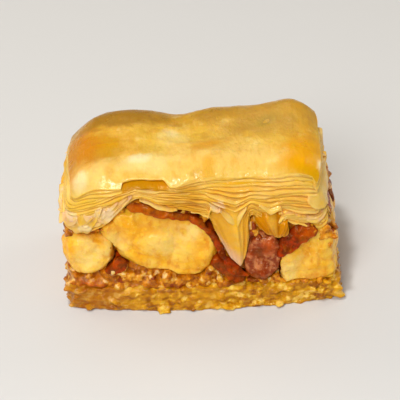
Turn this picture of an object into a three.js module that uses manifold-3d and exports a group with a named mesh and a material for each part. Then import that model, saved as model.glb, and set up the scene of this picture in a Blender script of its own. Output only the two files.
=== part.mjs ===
/**
 * Baklava piece: a block cut from a tray, with a walnut filling between phyllo pastry.
 *
 * Millimetres, +Z up. +X runs along the length and the best cut face looks towards -Y.
 * The origin is the centre of the underside.
 *
 * From the bottom up:
 *   phyllo_base   pressed, syrup-soaked sheets with a crumbly edge
 *   nut_filling   ground walnuts and syrup, all the way through, with chopped bits at its sides
 *   walnut_*      the large kernels that the knife met, one solid each, in pockets of the filling
 *   phyllo_lid    a pillow of thin sheets, whose lower ones sag between the kernels
 *
 * Every solid is first made in a straight-sided block. The last step leans and bows the block's
 * sides, alike for all of them, and centres the piece on its underside.
 */
import * as THREE from 'three';
import { SimplexNoise } from 'three/addons/math/SimplexNoise.js';
import { mergeVertices } from 'three/addons/utils/BufferGeometryUtils.js';
import Module from 'manifold-3d';

// ---- Driving dimensions ---------------------------------------------------

const LENGTH = 50;
const WIDTH = 27.5;
const CORNER_RADIUS = 2.2;
const BASE_TOP = 4.3;
const LID_UNDERSIDE = 19.4;
const LID_CROWN = 28;
const GAP = 0.3; // between neighbouring solids

const HALF_L = LENGTH / 2;
const HALF_W = WIDTH / 2;

// ---- Sampling -------------------------------------------------------------

const OUTLINE_POINTS = 88;
const LID_RINGS = 7;
const HIDDEN_RINGS = 3;
const RING_CROWDING = 1.5; // above 1, rings crowd towards the sides
const SIMPLIFY = { lid: 0.12, filling: 0.15, base: 0.13, kernel: 0.06 }; // well under the gap

// ---- The lid's form -------------------------------------------------------

/** How far the top sheets are dragged down along each cut, and how far in that starts. */
const LID_DROP = { front: 3, back: 3.4, left: 4.2, right: 2.4 };
const DROP_REACH = 7.5;
const DROP_POWER = 2.3;

/** Gentle swells and valleys of the top: centre, spread across X and Y, and rise. */
const TOP_SWELLS = [
  { x: -14, y: 7, across: 7, along: 9, rise: 0.5 },
  { x: -3.5, y: 9, across: 4.5, along: 11, rise: -1.1 },
  { x: 20, y: 11, across: 6.5, along: 6, rise: 1.5 },
  { x: 3, y: -8, across: 8, along: 4, rise: 0.5 },
  { x: -19, y: -4, across: 5, along: 6, rise: -0.5 },
  { x: -HALF_L, y: HALF_W, across: 7, along: 7, rise: -1 },
];

/** Where the lid's underside rides over kernels (rise > 0) or sinks between them. */
const UNDERSIDE_SWELLS = [
  { x: -11.4, y: -HALF_W, across: 4.2, along: 8, rise: 4.1 },
  { x: -4, y: -HALF_W, across: 5, along: 8, rise: 1.6 },
  { x: -22, y: -HALF_W, across: 5.5, along: 8, rise: -3.2 },
  { x: 22, y: -HALF_W, across: 5.5, along: 7, rise: -4 },
  { x: 5, y: HALF_W, across: 6, along: 8, rise: 1.6 },
  { x: -15, y: HALF_W, across: 4, along: 7, rise: -1.4 },
  { x: -HALF_L, y: 6, across: 7, along: 4, rise: -1.6 },
  { x: HALF_L, y: -3, across: 7, along: 4, rise: 1.2 },
];

/** Folds of the lower sheets that hang between kernels at a cut: the lowest point, how far the
 *  fold reaches to its left, to its right and along Y, and its depth. */
const SAGS = [
  { x: 7.1, y: -HALF_W, left: 5.4, right: 2.9, along: 7, depth: 10.8 },
  { x: 14, y: -HALF_W, left: 3.2, right: 3, along: 5, depth: 4.4 },
  { x: -1.6, y: HALF_W, left: 3, right: 3, along: 6, depth: 5 },
  { x: 13.5, y: HALF_W, left: 3.4, right: 3.4, along: 5, depth: 4.2 },
  { x: -HALF_L, y: 1.2, left: 5, right: 5, along: 3, depth: 4.4 },
  { x: HALF_L, y: 1.4, left: 5, right: 5, along: 2.8, depth: 3.8 },
];

const SHEET_EDGES = 7; // the bundles of sheets that show as ridges along the cuts
const SHEET_GROOVE = 0.35;
const SHEET_RAGGED = 0.45;

/** A gap where two bundles have parted on the front. */
const PARTING = { from: -13.5, to: -4.8, sheet: 5, depth: 1.3 };

// ---- Kernels --------------------------------------------------------------

/** Each kernel: its place along the cut and its height, its size along the cut, inwards and
 *  upwards, its tilt in the plane of the cut (degrees), and how far its middle lies inside. */
const KERNELS = {
  front: [
    { name: 'left', at: -20.4, z: 11.4, size: [9.8, 9, 8.6], tilt: 6, inside: 3 },
    { name: 'big', at: -6.8, z: 14.5, size: [21.8, 12, 13.8], tilt: -19, inside: 3.4 },
    { name: 'chip', at: -15.6, z: 9.1, size: [4.8, 5, 3.8], tilt: 20, inside: 0.9 },
    { name: 'sliver', at: 5, z: 7.6, size: [8, 6, 3.2], tilt: -46, inside: 1.2 },
    { name: 'dark', at: 11.3, z: 10.2, size: [6.8, 8, 10.2], tilt: -12, inside: 2 },
    { name: 'right', at: 19.5, z: 9.1, size: [13.4, 9, 10.6], tilt: 28, inside: 2.3 },
    { name: 'corner', at: 23.5, z: 5.8, size: [5, 8, 4.4], tilt: -8, inside: 2.2 },
  ],
  back: [
    { name: '1', at: 19.4, z: 12.6, size: [11, 9, 9.4], tilt: 22, inside: 2.8 },
    { name: '2', at: 8.4, z: 9.7, size: [9.4, 8, 7.6], tilt: -30, inside: 2.2 },
    { name: '3', at: -4.8, z: 13.6, size: [15, 10, 10], tilt: 12, inside: 3 },
    { name: '4', at: -15.2, z: 9.9, size: [7.4, 8, 8], tilt: 48, inside: 2.2 },
    { name: '5', at: -21, z: 13.6, size: [8.4, 8, 8.6], tilt: -24, inside: 2.6 },
  ],
  left: [
    { name: '1', at: -3.4, z: 13, size: [9.6, 9, 8.6], tilt: 18, inside: 2.6 },
    { name: '2', at: 4.6, z: 9.2, size: [7.2, 7, 6.6], tilt: -20, inside: 2 },
  ],
  right: [
    { name: '1', at: -4.2, z: 13.6, size: [8.2, 8, 8.4], tilt: -16, inside: 2.4 },
    { name: '2', at: 4.2, z: 10.2, size: [9.4, 8, 8], tilt: 24, inside: 2.4 },
  ],
};
const KERNEL_DETAIL = 2;
const LARGE_KERNEL = { length: 14, detail: 3 };
const KERNEL_LOBES = 0.2;
const KERNEL_NOISE = 1.3;
const KERNEL_SQUARE = 2.5; // 2 is an ellipsoid, more is blockier

// ---- Filling and base -----------------------------------------------------

const FILLING_INSET = 1.3; // from the cut faces, so that the kernels stand proud of it
const BIT_COUNT = 30;
const BIT_SIZE = [1.7, 3.2];
const BIT_INSET = 1.2;
const CRUMB_COUNT = 16;
const CRUMB_SIZE = [1.3, 2.6];
const CRUMB_INSET = 0.2;
const CRUMB_HEIGHT = [1.2, 2.8];
const FOOT_ROUNDING = 0.5;

// ---- Unevenness -----------------------------------------------------------

/** Ripples of near-level surfaces: height, width along X and Y, and where the noise is read. */
const RIPPLES = {
  top: { rise: 0.25, x: 9, y: 6, offset: 0 },
  underside: { rise: 0.3, x: 6, y: 6, offset: 40 },
  base: { rise: 0.5, x: 5, y: 5, offset: 80 },
};

/** Crags of the cut sides: depth, width, how many up the side, and where the noise is read. */
const CRAGS = {
  base: { depth: 0.5, width: 2, up: 2, offset: 0 },
  filling: { depth: 0.4, width: 3, up: 4, offset: 60 },
  cut: { depth: 0.45, width: 5, up: 3, offset: 20 },
};

// ---- How the block leans --------------------------------------------------

const FRONT_BOW = 2.4; // the base bulges towards the front between its corners
const BACK_BOW = 0.7;
const BOW_FADE = 6;
const RIGHT_INSET = 2.2; // the lid is shorter than the filling at the right end
const LEFT_INSET = 1.4;
const FOOT_INSET = 0.25; // the left cut slopes in towards the base
const CORNER_INSET = 1.8; // the lid's corners are rounder than the base's

const COLOURS = {
  lid: 0xe6b450,
  filling: 0xb06a22,
  base: 0xcf9a35,
  kernel: 0xf0c46a,
  darkKernel: 0x8a3f2a,
};

const wasm = await Module();
wasm.setup();

// ---- Small helpers --------------------------------------------------------

/** A repeatable source of numbers from 0 to 1. */
function makeRandom(seed) {
  let state = seed;
  return () => {
    state = (Math.imul(state, 1664525) + 1013904223) >>> 0;
    return state / 2 ** 32;
  };
}

const random = makeRandom(20);
const noise = new SimplexNoise({ random });
const between = ([low, high]) => low + (high - low) * random();
const smoothstep = THREE.MathUtils.smoothstep;

const ripple = (r, x, y) => r.rise * noise.noise(x / r.x, y / r.y + r.offset);

const crag = (c, p, h) => c.depth * noise.noise3d(p.x / c.width, p.y / c.width, h * c.up + c.offset);

function solidOf(geometry) {
  geometry.deleteAttribute('normal');
  geometry.deleteAttribute('uv');
  const merged = mergeVertices(geometry, 1e-3);
  const corners = merged.index.array;
  const kept = [];
  for (let i = 0; i < corners.length; i += 3) {
    const [a, b, c] = corners.slice(i, i + 3);
    if (a !== b && b !== c && c !== a) kept.push(a, b, c);
  }
  return new wasm.Manifold(new wasm.Mesh({
    numProp: 3,
    vertProperties: merged.attributes.position.array,
    triVerts: new Uint32Array(kept),
  }));
}

function geometryOf(solid) {
  const mesh = solid.getMesh();
  const geometry = new THREE.BufferGeometry();
  geometry.setAttribute('position', new THREE.BufferAttribute(mesh.vertProperties, 3));
  geometry.setIndex(new THREE.BufferAttribute(mesh.triVerts, 1));
  return geometry;
}

const largestBody = (solid) => solid.decompose().sort((a, b) => b.volume() - a.volume())[0];

const simplified = (solid, tolerance) => largestBody(solid.asOriginal().simplify(tolerance));

// ---- The block's outline --------------------------------------------------

/** Evenly spaced points round the block, alike on both sides of Y = 0. */
function makeOutline() {
  const x = HALF_L - CORNER_RADIUS;
  const y = HALF_W - CORNER_RADIUS;
  const path = new THREE.Path();
  path.moveTo(HALF_L, 0);
  path.lineTo(HALF_L, y);
  path.absarc(x, y, CORNER_RADIUS, 0, Math.PI / 2);
  path.lineTo(-x, HALF_W);
  path.absarc(-x, y, CORNER_RADIUS, Math.PI / 2, Math.PI);
  path.lineTo(-HALF_L, 0);
  const upper = path.getSpacedPoints(OUTLINE_POINTS / 2);
  const lower = upper.slice(1, -1).reverse().map((p) => new THREE.Vector2(p.x, -p.y));
  return [...upper, ...lower].map((p) => ({ x: p.x, y: p.y, ...outward(p) }));
}

/** The outward direction at a point of the outline. */
function outward(p) {
  const x = HALF_L - CORNER_RADIUS;
  const y = HALF_W - CORNER_RADIUS;
  const n = new THREE.Vector2(
    p.x - THREE.MathUtils.clamp(p.x, -x, x),
    p.y - THREE.MathUtils.clamp(p.y, -y, y),
  ).normalize();
  return { nx: n.x, ny: n.y };
}

const outline = makeOutline();

const LAYER_DEFAULTS = { inset: 0, topRings: HIDDEN_RINGS, bottomRings: HIDDEN_RINGS };

/**
 * A closed layer of the block. top(x, y) and bottom(x, y) are heights, side(point, h) pushes
 * the side out at share h of its height, and inset moves the whole side in. Layers with as many
 * rings share their sample points, so a shared surface is the same in both.
 */
function layer({ top, bottom, side, levels, ...rest }) {
  const { inset, topRings, bottomRings } = { ...LAYER_DEFAULTS, ...rest };
  const ring = (share, height) => outline.map((p) => {
    const t = 1 - (1 - share) ** RING_CROWDING;
    const coreX = THREE.MathUtils.clamp(p.x, HALF_W - HALF_L, HALF_L - HALF_W);
    const x = coreX + t * (p.x - p.nx * inset - coreX);
    const y = t * (p.y - p.ny * inset);
    return [x, y, height(x, y)];
  });
  const rings = (count, height) => Array.from(
    { length: count + 1 },
    (_, r) => ring(r / count, height),
  );
  const below = rings(bottomRings, bottom);
  const above = rings(topRings, top).reverse();
  const walls = Array.from({ length: levels - 1 }, (_, l) => outline.map((p, i) => {
    const h = (l + 1) / levels;
    const push = side(p, h) - inset;
    const z = THREE.MathUtils.lerp(below.at(-1)[i][2], above[0][i][2], h);
    return [p.x + p.nx * push, p.y + p.ny * push, z];
  }));
  return solidOf(loopsToGeometry([...below, ...walls, ...above], below.length + walls.length));
}

/** Joins each loop of points to the next, with the other diagonal from loop `turned` on, so that
 *  a surface is cut into the same triangles as a top and as a bottom. */
function loopsToGeometry(loops, turned) {
  const count = loops[0].length;
  const index = [];
  for (let l = 0; l + 1 < loops.length; l++) {
    for (let i = 0; i < count; i++) {
      const a = l * count + i;
      const b = l * count + ((i + 1) % count);
      if (l < turned) index.push(a, b, b + count, a, b + count, a + count);
      else index.push(a, b, a + count, b, b + count, a + count);
    }
  }
  const geometry = new THREE.BufferGeometry();
  geometry.setAttribute('position', new THREE.Float32BufferAttribute(loops.flat(2), 3));
  geometry.setIndex(index);
  return geometry;
}

// ---- Heights of the layers ------------------------------------------------

const swell = (list, x, y) => list.reduce(
  (sum, s) => sum + s.rise * Math.exp(-(((x - s.x) / s.across) ** 2) - ((y - s.y) / s.along) ** 2),
  0,
);

function sagDepth(x, y) {
  return SAGS.reduce((sum, s) => {
    const q = Math.hypot((x - s.x) / (x < s.x ? s.left : s.right), (y - s.y) / s.along);
    return sum + s.depth * Math.max(0, 1 - q) ** 0.9;
  }, 0);
}

function lidTop(x, y) {
  const drop = (amount, distance) => {
    const near = 1 - THREE.MathUtils.clamp(distance / DROP_REACH, 0, 1);
    return amount * near ** DROP_POWER;
  };
  return LID_CROWN + swell(TOP_SWELLS, x, y)
    + ripple(RIPPLES.top, x, y)
    - drop(LID_DROP.front, y + HALF_W)
    - drop(LID_DROP.back, HALF_W - y)
    - drop(LID_DROP.left, x + HALF_L)
    - drop(LID_DROP.right, HALF_L - x);
}

const lidUnderside = (x, y) => LID_UNDERSIDE + swell(UNDERSIDE_SWELLS, x, y)
  + ripple(RIPPLES.underside, x, y) - sagDepth(x, y);

const baseTop = (x, y) => BASE_TOP + ripple(RIPPLES.base, x, y);

// ---- Layers ---------------------------------------------------------------

/** Ridges of sheet edges, each bundle ragged in its own way, with grooves between them. */
function sheetEdges(p, h) {
  const step = Math.round(h * SHEET_EDGES * 2);
  const sheet = Math.floor(step / 2);
  if (step % 2 === 0) return -SHEET_GROOVE;
  const onFront = p.ny < -0.9 && p.x > PARTING.from && p.x < PARTING.to;
  const parted = onFront && sheet === PARTING.sheet ? PARTING.depth : 0;
  return SHEET_RAGGED * noise.noise3d(p.x / 4, p.y / 4, sheet * 7) - parted;
}

function makeLid() {
  const lid = layer({
    top: lidTop,
    bottom: lidUnderside,
    side: sheetEdges,
    levels: SHEET_EDGES * 2,
    topRings: LID_RINGS,
  });
  return simplified(lid, SIMPLIFY.lid);
}

/** A chopped bit or crumb: a few-sided lump of about the given size. */
function makeBit(size, x, y, z) {
  const geometry = new THREE.IcosahedronGeometry(size / 2, 0);
  const turn = new THREE.Euler(random() * Math.PI, random() * Math.PI, random() * Math.PI);
  geometry.scale(1 + 0.5 * random(), 1, 0.7 + 0.3 * random());
  geometry.applyMatrix4(new THREE.Matrix4().makeRotationFromEuler(turn));
  geometry.translate(x, y, z);
  return solidOf(geometry);
}

/** Bits at even steps round the block, each moved a little, at heights that height() gives. */
function scatterBits(count, size, inward, height) {
  return Array.from({ length: count }, (_, i) => {
    const place = (i + 0.6 * random()) / count;
    const p = outline[Math.floor(place * OUTLINE_POINTS) % OUTLINE_POINTS];
    return makeBit(between(size), p.x - p.nx * inward, p.y - p.ny * inward, height(p));
  });
}

function makeBase() {
  const block = layer({
    top: baseTop,
    bottom: () => 0,
    side: (p, h) => crag(CRAGS.base, p, h) - FOOT_ROUNDING * (1 - h) ** 3,
    levels: 4,
    bottomRings: 1,
  });
  const crumbs = scatterBits(CRUMB_COUNT, CRUMB_SIZE, CRUMB_INSET, () => between(CRUMB_HEIGHT));
  const whole = wasm.Manifold.union([block, ...crumbs]).intersect(makeAboveFloor());
  return simplified(whole, SIMPLIFY.base);
}

/** A block that holds everything above Z = 0. */
function makeAboveFloor() {
  const geometry = new THREE.BoxGeometry(LENGTH * 2, WIDTH * 2, LID_CROWN * 2);
  geometry.translate(0, 0, LID_CROWN);
  return solidOf(geometry);
}

/** The room between the base and the lid, a gap clear of both. */
function makeRoom() {
  return layer({
    top: (x, y) => lidUnderside(x, y) - GAP,
    bottom: (x, y) => baseTop(x, y) + GAP,
    side: (p, h) => crag(CRAGS.cut, p, h),
    levels: 6,
  });
}

// ---- Kernels --------------------------------------------------------------

/** Where a cut lies, which way it faces and how its kernels are turned about Z. */
const CUTS = {
  front: { place: (at, inside) => [at, inside - HALF_W], turn: 0 },
  back: { place: (at, inside) => [at, HALF_W - inside], turn: Math.PI },
  left: { place: (at, inside) => [inside - HALF_L, at], turn: Math.PI / 2 },
  right: { place: (at, inside) => [HALF_L - inside, at], turn: -Math.PI / 2 },
};

/** A lobed walnut kernel, grown all round by the given amount. */
function makeKernel(cut, kernel, grow = 0) {
  const detail = kernel.size[0] > LARGE_KERNEL.length ? LARGE_KERNEL.detail : KERNEL_DETAIL;
  const geometry = new THREE.IcosahedronGeometry(0.5, detail);
  const position = geometry.attributes.position;
  const v = new THREE.Vector3();
  for (let i = 0; i < position.count; i++) {
    v.fromBufferAttribute(position, i);
    const s = KERNEL_NOISE / 0.5;
    const lobe = noise.noise3d(v.x * s + kernel.at, v.y * s + kernel.z, v.z * s);
    const unit = v.toArray().reduce((sum, side) => sum + Math.abs(side * 2) ** KERNEL_SQUARE, 0);
    v.multiplyScalar((1 + KERNEL_LOBES * (Math.abs(lobe) - 0.5)) / unit ** (1 / KERNEL_SQUARE));
    position.setXYZ(i, v.x, v.y, v.z);
  }
  const [along, deep, high] = kernel.size.map((side) => side + 2 * grow);
  geometry.scale(along, deep, high);
  geometry.rotateY(THREE.MathUtils.degToRad(-kernel.tilt));
  geometry.rotateZ(CUTS[cut].turn);
  geometry.translate(...CUTS[cut].place(kernel.at, kernel.inside), kernel.z);
  return solidOf(geometry);
}

/** All the kernels, trimmed to the room and each a gap clear of those before it, and the
 *  pockets that they lie in. */
function makeKernels(room) {
  const made = {};
  const pockets = [];
  for (const [cut, kernels] of Object.entries(KERNELS)) {
    for (const kernel of kernels) {
      const clear = pockets.reduce((left, pocket) => left.subtract(pocket), room);
      const trimmed = makeKernel(cut, kernel).intersect(clear);
      made[`walnut_${cut}_${kernel.name}`] = simplified(trimmed, SIMPLIFY.kernel);
      pockets.push(makeKernel(cut, kernel, GAP));
    }
  }
  return { made, pockets };
}

function makeFilling(room, pockets) {
  const core = layer({
    top: (x, y) => lidUnderside(x, y) + 1,
    bottom: () => 0,
    side: (p, h) => crag(CRAGS.filling, p, h),
    levels: 4,
    topRings: 1,
    bottomRings: 1,
    inset: FILLING_INSET,
  });
  const heights = [BASE_TOP + 1, LID_UNDERSIDE - 2];
  const bits = scatterBits(BIT_COUNT, BIT_SIZE, BIT_INSET, () => between(heights));
  const heap = wasm.Manifold.union([core, ...bits]).intersect(room);
  const cut = pockets.reduce((left, pocket) => left.subtract(pocket), heap);
  return simplified(cut, SIMPLIFY.filling);
}

// ---- The whole piece ------------------------------------------------------

/** Leans and bows the straight block's sides. */
function lean(v) {
  const [x, y, z] = v;
  const rightInset = RIGHT_INSET * smoothstep(z, 12, 20) * Math.max(0, x / HALF_L);
  const left = Math.max(0, -x / HALF_L);
  const leftInset = left * (LEFT_INSET * smoothstep(z, 16, 27) + FOOT_INSET * smoothstep(-z, -12, 0));
  const corner = CORNER_INSET * smoothstep(z, 12, 27) * (x / HALF_L) ** 6 * (y / HALF_W) ** 4;
  const hollow = Math.max(0, 1 - (x / HALF_L) ** 2);
  const fade = 0.35 + 0.65 * Math.exp(-z / BOW_FADE);
  const bow = y < 0 ? FRONT_BOW * (y / HALF_W) : BACK_BOW * (y / HALF_W);
  v[0] = x - rightInset + leftInset - corner * Math.sign(x);
  v[1] = y + bow * hollow * fade - corner * Math.sign(y);
}

function addPart(group, name, solid, colour, roughness) {
  const material = new THREE.MeshStandardMaterial({ color: colour, roughness, metalness: 0 });
  const mesh = new THREE.Mesh(geometryOf(largestBody(solid.warp(lean))), material);
  mesh.name = name;
  group.add(mesh);
}

function makePiece() {
  const lid = makeLid();
  const base = makeBase();
  const room = makeRoom();
  const { made, pockets } = makeKernels(room);
  const group = new THREE.Group();
  addPart(group, 'phyllo_lid', lid, COLOURS.lid, 0.35);
  addPart(group, 'nut_filling', makeFilling(room, pockets), COLOURS.filling, 0.4);
  addPart(group, 'phyllo_base', base, COLOURS.base, 0.6);
  for (const [name, solid] of Object.entries(made)) {
    const colour = name.endsWith('dark') ? COLOURS.darkKernel : COLOURS.kernel;
    addPart(group, name, solid, colour, 0.4);
  }
  return group;
}

/** Puts the centre of the underside at the origin. */
function centreOnUnderside(group) {
  const box = new THREE.Box3().setFromObject(group);
  const centre = box.getCenter(new THREE.Vector3());
  group.position.set(-centre.x, -centre.y, -box.min.z);
  return group;
}

export default centreOnUnderside(makePiece());
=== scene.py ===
"""Baklava piece: the visible surfaces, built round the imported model.

Shapes are worked out in millimetres, in a straight-sided block, then leaned and bowed as the
solids are, and turned into metres when a mesh is made.
"""

import math

import bpy
import numpy as np
from mathutils import Matrix, Vector
from mathutils.bvhtree import BVHTree
from mathutils.kdtree import KDTree


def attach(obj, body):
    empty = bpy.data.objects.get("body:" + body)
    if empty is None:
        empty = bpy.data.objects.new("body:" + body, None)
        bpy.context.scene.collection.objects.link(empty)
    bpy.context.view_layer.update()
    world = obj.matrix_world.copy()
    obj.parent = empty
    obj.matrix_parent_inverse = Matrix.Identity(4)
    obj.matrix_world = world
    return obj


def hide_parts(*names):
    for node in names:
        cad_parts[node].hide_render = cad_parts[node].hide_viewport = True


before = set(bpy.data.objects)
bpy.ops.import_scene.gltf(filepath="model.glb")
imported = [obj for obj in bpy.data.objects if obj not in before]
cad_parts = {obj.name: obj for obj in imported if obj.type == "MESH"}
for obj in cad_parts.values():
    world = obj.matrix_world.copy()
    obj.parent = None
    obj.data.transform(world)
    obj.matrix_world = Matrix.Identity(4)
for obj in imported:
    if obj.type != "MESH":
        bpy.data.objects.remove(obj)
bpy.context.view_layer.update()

MM = 0.001


def add_object(name, data):
    made = bpy.data.objects.new(name, data)
    bpy.context.collection.objects.link(made)
    return made


# ---- Camera

# the photograph's camera, turned a little to aim at the middle of the piece
CAMERA_PLACE = (0.00486, -0.30523, 0.2088)
PHOTO_FORWARD = (0.05479, 0.80199, -0.59482)
PHOTO_RIGHT = (0.99767, -0.06816, 0.0)
CAMERA_TARGET = (0.0, 0.0, 0.014)
LENS = 175.5


def make_camera():
    data = bpy.data.cameras.new("camera")
    data.lens = LENS
    data.sensor_width = 36.0
    camera = add_object("camera", data)
    place = Vector(CAMERA_PLACE)
    forward = Vector(PHOTO_FORWARD).normalized()
    right = Vector(PHOTO_RIGHT).normalized()
    aim = (Vector(CAMERA_TARGET) - place).normalized()
    right.rotate(forward.rotation_difference(aim))
    up = right.cross(aim)
    axes = Matrix((right, up, -aim)).transposed()
    camera.matrix_world = Matrix.Translation(place) @ axes.to_4x4()
    bpy.context.scene.camera = camera


make_camera()

# ---- The block's dimensions, as in the solids

LENGTH, WIDTH = 50.0, 27.5
HALF_L, HALF_W = LENGTH / 2, WIDTH / 2
CORNER_RADIUS = 2.2
BASE_TOP = 4.3
LID_UNDERSIDE = 19.4
LID_CROWN = 28.0
LID_DROPS = (3.0, 3.4, 4.2, 2.4)  # at the front, back, left and right cuts
DROP_REACH, DROP_POWER = 7.5, 2.3
CENTRE = (-0.124, 0.636)

# centre x, centre y, spread across x, spread along y, rise
TOP_SWELLS = (
    (-14, 7, 7, 9, 0.5),
    (-3.5, 9, 4.5, 11, -1.1),
    (20, 11, 6.5, 6, 1.5),
    (3, -8, 8, 4, 0.5),
    (-19, -4, 5, 6, -0.5),
    (-HALF_L, HALF_W, 7, 7, -1),
)
UNDERSIDE_SWELLS = (
    (-11.4, -HALF_W, 4.2, 8, 4.1),
    (-4, -HALF_W, 5, 8, 1.6),
    (-22, -HALF_W, 5.5, 8, -3.2),
    (22, -HALF_W, 5.5, 7, -4),
    (5, HALF_W, 6, 8, 1.6),
    (-15, HALF_W, 4, 7, -1.4),
    (-HALF_L, 6, 7, 4, -1.6),
    (HALF_L, -3, 7, 4, 1.2),
)
# lowest point's x and y, reach to its left, to its right and along y, depth
SAGS = (
    (7.1, -HALF_W, 5.4, 2.9, 7, 10.8),
    (14, -HALF_W, 3.2, 3, 5, 4.4),
    (-1.6, HALF_W, 3, 3, 6, 5),
    (13.5, HALF_W, 3.4, 3.4, 5, 4.2),
    (-HALF_L, 1.2, 5, 5, 3, 4.4),
    (HALF_L, 1.4, 5, 5, 2.8, 3.8),
)
FRONT_BOW, BACK_BOW, BOW_FADE, BOW_KEPT = 2.4, 0.7, 6.0, 0.35
# how far the right end, the left end and the corners lean in, and from which height to which
LEANS = ((2.2, 12, 20), (1.4, 16, 27), (1.8, 12, 27))
FOOT_INSET, FOOT_HEIGHT = 0.25, 12

# ---- Repeatable noise

PRIMES = np.array((374761393, 668265263, 2246822519), dtype=np.uint64)
SEED_PRIME, MIX, MASK = 3266489917, 2246822519, 0xFFFFFFFF


def lattice(cell, seed):
    """Repeatable numbers from -1 to 1 for whole-number cells (..., 3)."""
    cell = cell.astype(np.int64).astype(np.uint64)
    h = (cell * PRIMES).sum(axis=-1, dtype=np.uint64) + np.uint64(seed * SEED_PRIME)
    h &= MASK
    h = ((h ^ (h >> 15)) * MIX) & MASK
    h = ((h ^ (h >> 13)) * SEED_PRIME) & MASK
    h ^= h >> 16
    return (h & 0xFFFF).astype(float) / 32767.5 - 1


def noise(p, size, seed):
    """Smooth noise from -1 to 1 at points (n, 3), with features of about size."""
    q = np.asarray(p, dtype=float) / size
    low = np.floor(q)
    f = q - low
    f = f * f * (3 - 2 * f)
    total = np.zeros(q.shape[:-1])
    for corner in np.ndindex(2, 2, 2):
        weight = np.prod(np.where(np.array(corner) == 1, f, 1 - f), axis=-1)
        total += weight * lattice(low + corner, seed)
    return total


def fractal(p, size, seed, octaves=3):
    return sum(noise(p, size / 2**i, seed + i) * 0.5**i for i in range(octaves))


def smoothstep(low, high, x):
    t = np.clip((x - low) / (high - low), 0, 1)
    return t * t * (3 - 2 * t)


def unit(v, axis=-1):
    """Vectors of length 1, along an axis."""
    return v / np.linalg.norm(v, axis=axis, keepdims=True)


# ---- Heights of the layers


def swell(rows, x, y):
    return sum(
        rise * np.exp(-(((x - cx) / wide) ** 2) - ((y - cy) / deep) ** 2)
        for cx, cy, wide, deep, rise in rows
    )


def sag_depth(x, y):
    """How far the folds hang below the lid's underside."""
    total = 0
    for cx, cy, left, right, deep, depth in SAGS:
        q = np.hypot((x - cx) / np.where(x < cx, left, right), (y - cy) / deep)
        total = total + depth * np.maximum(0, 1 - q) ** 0.9
    return total


def lid_top(x, y):
    """The top's height, which drops towards the cuts."""
    height = LID_CROWN + swell(TOP_SWELLS, x, y)
    for amount, distance in zip(LID_DROPS, (y + HALF_W, HALF_W - y, x + HALF_L, HALF_L - x)):
        height = height - amount * (1 - np.clip(distance / DROP_REACH, 0, 1)) ** DROP_POWER
    return height


def lid_underside(x, y):
    """The lid's underside without the folds that hang from it."""
    return LID_UNDERSIDE + swell(UNDERSIDE_SWELLS, x, y)


def lean(p):
    """Block points (n, 3) leaned and bowed as the solids are."""
    x, y, z = np.asarray(p, dtype=float).T
    across = x / HALF_L
    right, left, corner = (amount * smoothstep(low, high, z) for amount, low, high in LEANS)
    right = right * np.maximum(0, across)
    left = left + FOOT_INSET * smoothstep(-FOOT_HEIGHT, 0, -z)
    left = left * np.maximum(0, -across)
    corner = corner * across**6 * (y / HALF_W) ** 4
    fade = BOW_KEPT + (1 - BOW_KEPT) * np.exp(-z / BOW_FADE)
    bow = np.where(y < 0, FRONT_BOW, BACK_BOW) * y / HALF_W * np.maximum(0, 1 - across**2) * fade
    return np.c_[
        x - right + left - corner * np.sign(x) + CENTRE[0],
        y + bow - corner * np.sign(y) + CENTRE[1],
        z,
    ]


# ---- The outline

CORNER_STEPS = 24


def even_course(rows, count=None, spacing=1.0):
    """Rows of numbers, at even steps of the way along their first two."""
    along = np.r_[0, np.cumsum(np.linalg.norm(np.diff(rows[:, :2], axis=0), axis=1))]
    steps = np.linspace(0, along[-1], count or int(along[-1] / spacing))
    return np.stack([np.interp(steps, along, column) for column in rows.T], axis=-1)


def make_outline(count):
    """Evenly spaced points round the block, and their outward directions."""
    x, y, r = HALF_L - CORNER_RADIUS, HALF_W - CORNER_RADIUS, CORNER_RADIUS
    points = []
    for cx, cy, start in ((x, y, 0), (-x, y, 90), (-x, -y, 180), (x, -y, 270)):
        for degrees in np.linspace(start, start + 90, CORNER_STEPS):
            a = math.radians(degrees)
            points.append((cx + r * math.cos(a), cy + r * math.sin(a)))
    spots = even_course(np.array(points + points[:1]), count + 1)[:-1]
    return spots, unit(spots - np.clip(spots, (-x, -y), (x, y)))


# ---- Meshes


def ring_faces(rings, count, closed=True):
    """Quads between rings of points, where ring r holds points r*count to (r+1)*count."""
    i = np.arange(count if closed else count - 1)
    after = (i + 1) % count
    quads = np.c_[i, after, after + count, i + count]
    return np.concatenate([quads + r * count for r in range(rings - 1)])


def build_mesh(name, points, faces):
    """A smooth mesh from points in millimetres and an array of faces, or a list of such arrays."""
    mesh = bpy.data.meshes.new(name)
    arrays = faces if isinstance(faces, list) else [faces]
    corners = [face for array in arrays for face in array.tolist()]
    mesh.from_pydata(np.asarray(points) * MM, [], corners, shade_flat=False)
    mesh.validate()
    return mesh


def add_mesh(name, points, faces, material, slot, stands_for=(), **numbers):
    """A piece that rides on the body. numbers hold one value for each point, for its material."""
    mesh = build_mesh(name, points, faces)
    for key, values in numbers.items():
        layer = mesh.attributes.new(key, "FLOAT", "POINT")
        layer.data.foreach_set("value", np.asarray(values, dtype=np.float32))
    mesh.materials.append(material)
    piece = add_object(name, mesh)
    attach(piece, "root")
    if stands_for:
        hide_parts(*stands_for)


def read(items, key, width=1, kind=np.int32):
    values = np.empty(len(items) * width, dtype=kind)
    items.foreach_get(key, values)
    return values


def read_mesh(mesh):
    """Points in millimetres, outward directions and arrays of faces of one size."""
    points = read(mesh.vertices, "co", 3, float).reshape(-1, 3) / MM
    normals = read(mesh.vertex_normals, "vector", 3, float).reshape(-1, 3)
    corners, starts = read(mesh.loops, "vertex_index"), read(mesh.polygons, "loop_start")
    sizes = np.diff(np.r_[starts, len(corners)])
    return points, normals, [
        corners[starts[sizes == size][:, None] + np.arange(size)] for size in np.unique(sizes)
    ]


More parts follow.
